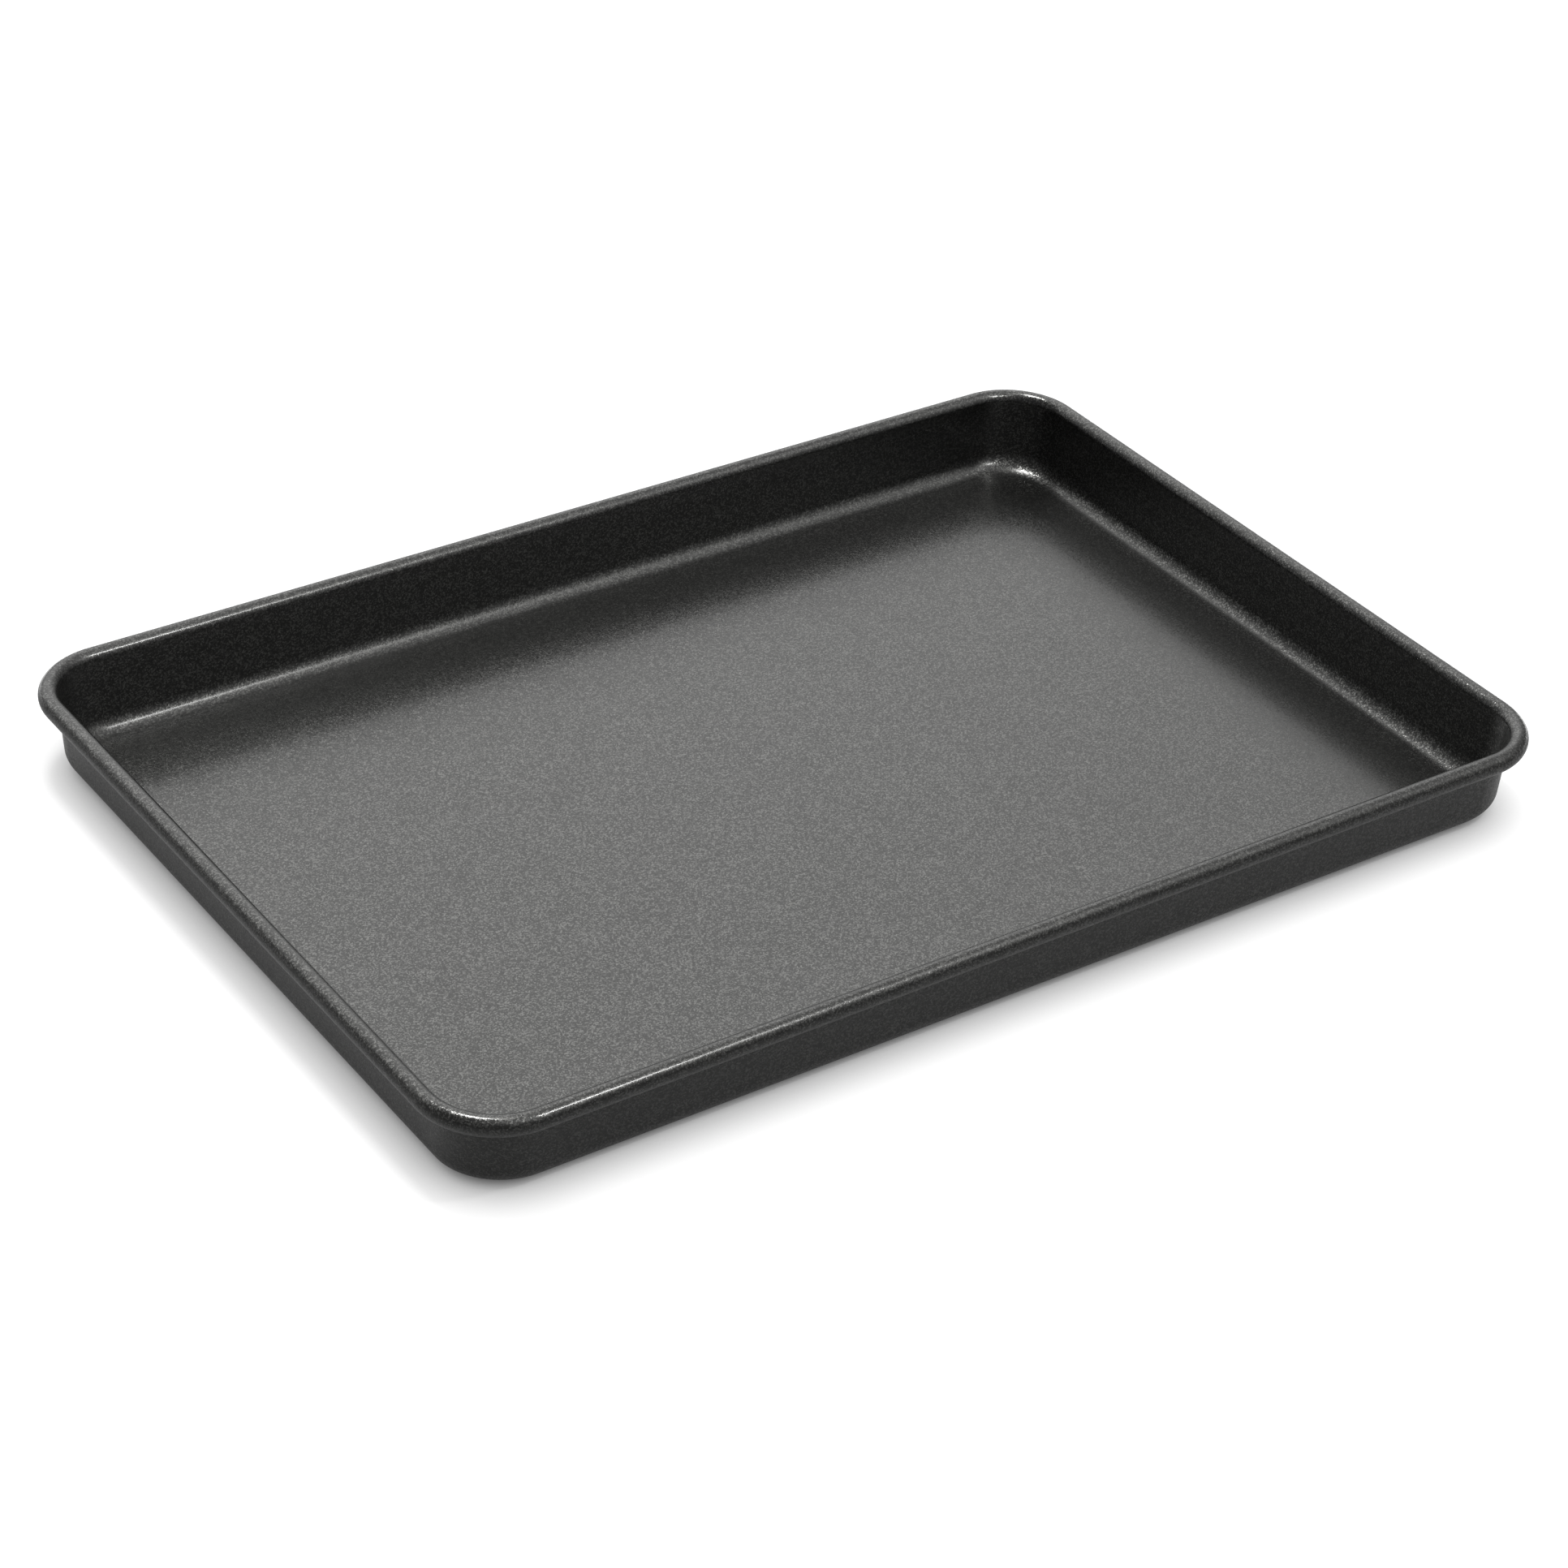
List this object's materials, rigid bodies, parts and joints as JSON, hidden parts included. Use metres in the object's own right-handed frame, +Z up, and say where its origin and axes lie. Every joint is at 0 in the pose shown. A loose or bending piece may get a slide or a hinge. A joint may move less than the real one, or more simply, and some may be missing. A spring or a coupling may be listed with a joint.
{
  "type": "sheet pan",
  "caption": "Shallow rectangular sheet pan with rounded corners, drafted walls, a coved floor and a round rolled rim over a reinforcing wire.",
  "frame": {"origin": "middle of the flat underside that the pan rests on", "axes": "+X along the long side, +Y along the short side, +Z up out of the open tray"},
  "size_m": [0.432, 0.305, 0.0318],
  "materials": {
    "nonstick_coating": "dark charcoal metallic non-stick coating, satin, with a fine sparkle",
    "wire_steel": "plain drawn steel wire"
  },
  "bodies": {
    "root": {"pan_shell": "nonstick_coating", "rim_wire": "wire_steel"}
  },
  "joints": []
}
